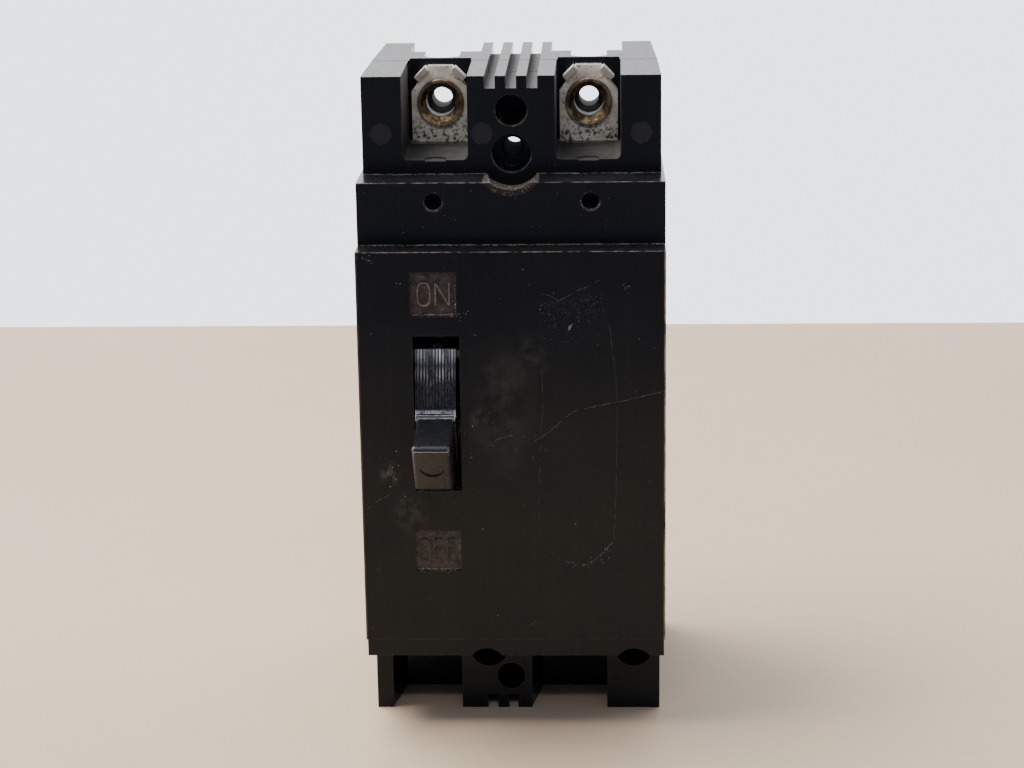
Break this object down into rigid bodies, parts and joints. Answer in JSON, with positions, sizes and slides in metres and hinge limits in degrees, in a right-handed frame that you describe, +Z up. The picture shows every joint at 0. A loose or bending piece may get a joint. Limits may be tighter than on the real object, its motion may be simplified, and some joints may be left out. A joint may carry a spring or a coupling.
{
  "type": "molded case circuit breaker",
  "caption": "Black molded-case circuit breaker with toggle lever, line terminals with brass bushes at the top, load terminals in the bottom end and a full internal trip mechanism.",
  "frame": {"origin": "centre of the bounding box in X and Y, on the load-end face that the breaker stands on", "axes": "+Z up from the load end to the line end, -Y out of the operating face with the lever, +X to the right seen from the front"},
  "size_m": [0.0508, 0.063, 0.1103],
  "materials": {
    "black_molding": "satin molded phenolic, mould-pressed, dusty and scuffed",
    "lever_molding": "satin molded lever",
    "tinned_copper": "tarnished tinned copper",
    "brass": "tarnished brass",
    "steel": "zinc-plated steel",
    "copper": "oxidised copper",
    "silver": "silver contact alloy",
    "fibre": "vulcanised fibre",
    "bakelite": "molded phenolic",
    "spring_steel": "drawn spring wire"
  },
  "bodies": {
    "case": {"base": "black_molding", "cover": "black_molding", "case_screw_1": "steel", "case_screw_2": "steel", "case_screw_3": "steel", "case_screw_4": "steel", "frame_plate_left": "steel", "handle_pivot_left": "steel", "frame_plate_right": "steel", "handle_pivot_right": "steel", "cradle_pin": "steel", "main_spring_left": "spring_steel", "main_spring_right": "spring_steel", "trip_spring": "spring_steel", "line_strap_left": "tinned_copper", "line_bush_left": "brass", "fixed_contact_left": "silver", "chute_frame_left": "fibre", "arc_plate_left_1": "steel", "arc_plate_left_2": "steel", "arc_plate_left_3": "steel", "arc_plate_left_4": "steel", "braid_left": "copper", "bimetal_left": "steel", "calibration_screw_left": "brass", "magnet_yoke_left": "steel", "load_strap_left": "tinned_copper", "wire_clamp_left": "steel", "load_screw_left": "steel", "line_strap_right": "tinned_copper", "line_bush_right": "brass", "fixed_contact_right": "silver", "chute_frame_right": "fibre", "arc_plate_right_1": "steel", "arc_plate_right_2": "steel", "arc_plate_right_3": "steel", "arc_plate_right_4": "steel", "braid_right": "copper", "bimetal_right": "steel", "calibration_screw_right": "brass", "magnet_yoke_right": "steel", "load_strap_right": "tinned_copper", "wire_clamp_right": "steel", "load_screw_right": "steel"},
    "lever": {"handle": "lever_molding", "handle_yoke": "steel"},
    "contact_bar": {"crossbar": "bakelite", "contact_arm_left": "copper", "contact_arm_right": "copper", "moving_contact_left": "silver", "moving_contact_right": "silver"},
    "upper_toggle": {"upper_link": "steel", "toggle_pin": "steel"},
    "lower_toggle": {"lower_link": "steel"},
    "cradle_arm": {"cradle": "steel"},
    "trip_shaft": {"trip_bar": "bakelite", "latch": "steel"},
    "armature_l": {"armature_left": "steel"},
    "armature_r": {"armature_right": "steel"}
  },
  "joints": [
    {"name": "lever_swing", "type": "hinge", "parent": "case", "child": "lever", "pos_m": [0, 0.0045, 0.056], "axis": [-1, 0, 0], "range_deg": [0, 28], "deforming": ["main_spring_left", "main_spring_right"]},
    {"name": "contact_bar_swing", "type": "hinge", "parent": "case", "child": "contact_bar", "pos_m": [0, 0.0175, 0.046], "axis": [-1, 0, 0], "range_deg": [0, 20], "deforming": ["braid_left", "braid_right"]},
    {"name": "upper_link_swing", "type": "hinge", "parent": "case", "child": "upper_toggle", "pos_m": [0, -0.0025, 0.058], "axis": [1, 0, 0], "range_deg": [0, 28.4]},
    {"name": "lower_link_swing", "type": "hinge", "parent": "contact_bar", "child": "lower_toggle", "pos_m": [0, 0.01261, 0.05359], "axis": [1, 0, 0], "range_deg": [0, 2.6]},
    {"name": "trip_bar_turn", "type": "hinge", "parent": "case", "child": "trip_shaft", "pos_m": [0, 0.0055, 0.031], "axis": [1, 0, 0], "range_deg": [0, 8], "stiffness_Nm_per_rad": 0.05, "springref_deg": -11.46, "deforming": ["trip_spring"]},
    {"name": "cradle_release", "type": "hinge", "parent": "case", "child": "cradle_arm", "pos_m": [0, -0.0085, 0.064], "axis": [-1, 0, 0], "range_deg": [0, 4]},
    {"name": "armature_left_swing", "type": "hinge", "parent": "case", "child": "armature_l", "pos_m": [0, 0.0139, 0.03], "axis": [1, 0, 0], "range_deg": [0, 6.8]},
    {"name": "armature_right_swing", "type": "hinge", "parent": "case", "child": "armature_r", "pos_m": [0, 0.0139, 0.03], "axis": [1, 0, 0], "range_deg": [0, 6.8]}
  ],
  "couplings": [
    {"joint": "contact_bar_swing", "follows": "lever_swing", "ratio": 0.71429},
    {"joint": "upper_link_swing", "follows": "lever_swing", "ratio": 1.0137},
    {"joint": "lower_link_swing", "follows": "lever_swing", "ratio": 0.092643},
    {"joint": "cradle_release", "follows": "trip_bar_turn", "ratio": 0.5},
    {"joint": "armature_left_swing", "follows": "trip_bar_turn", "ratio": 0.85},
    {"joint": "armature_right_swing", "follows": "trip_bar_turn", "ratio": 0.85}
  ]
}
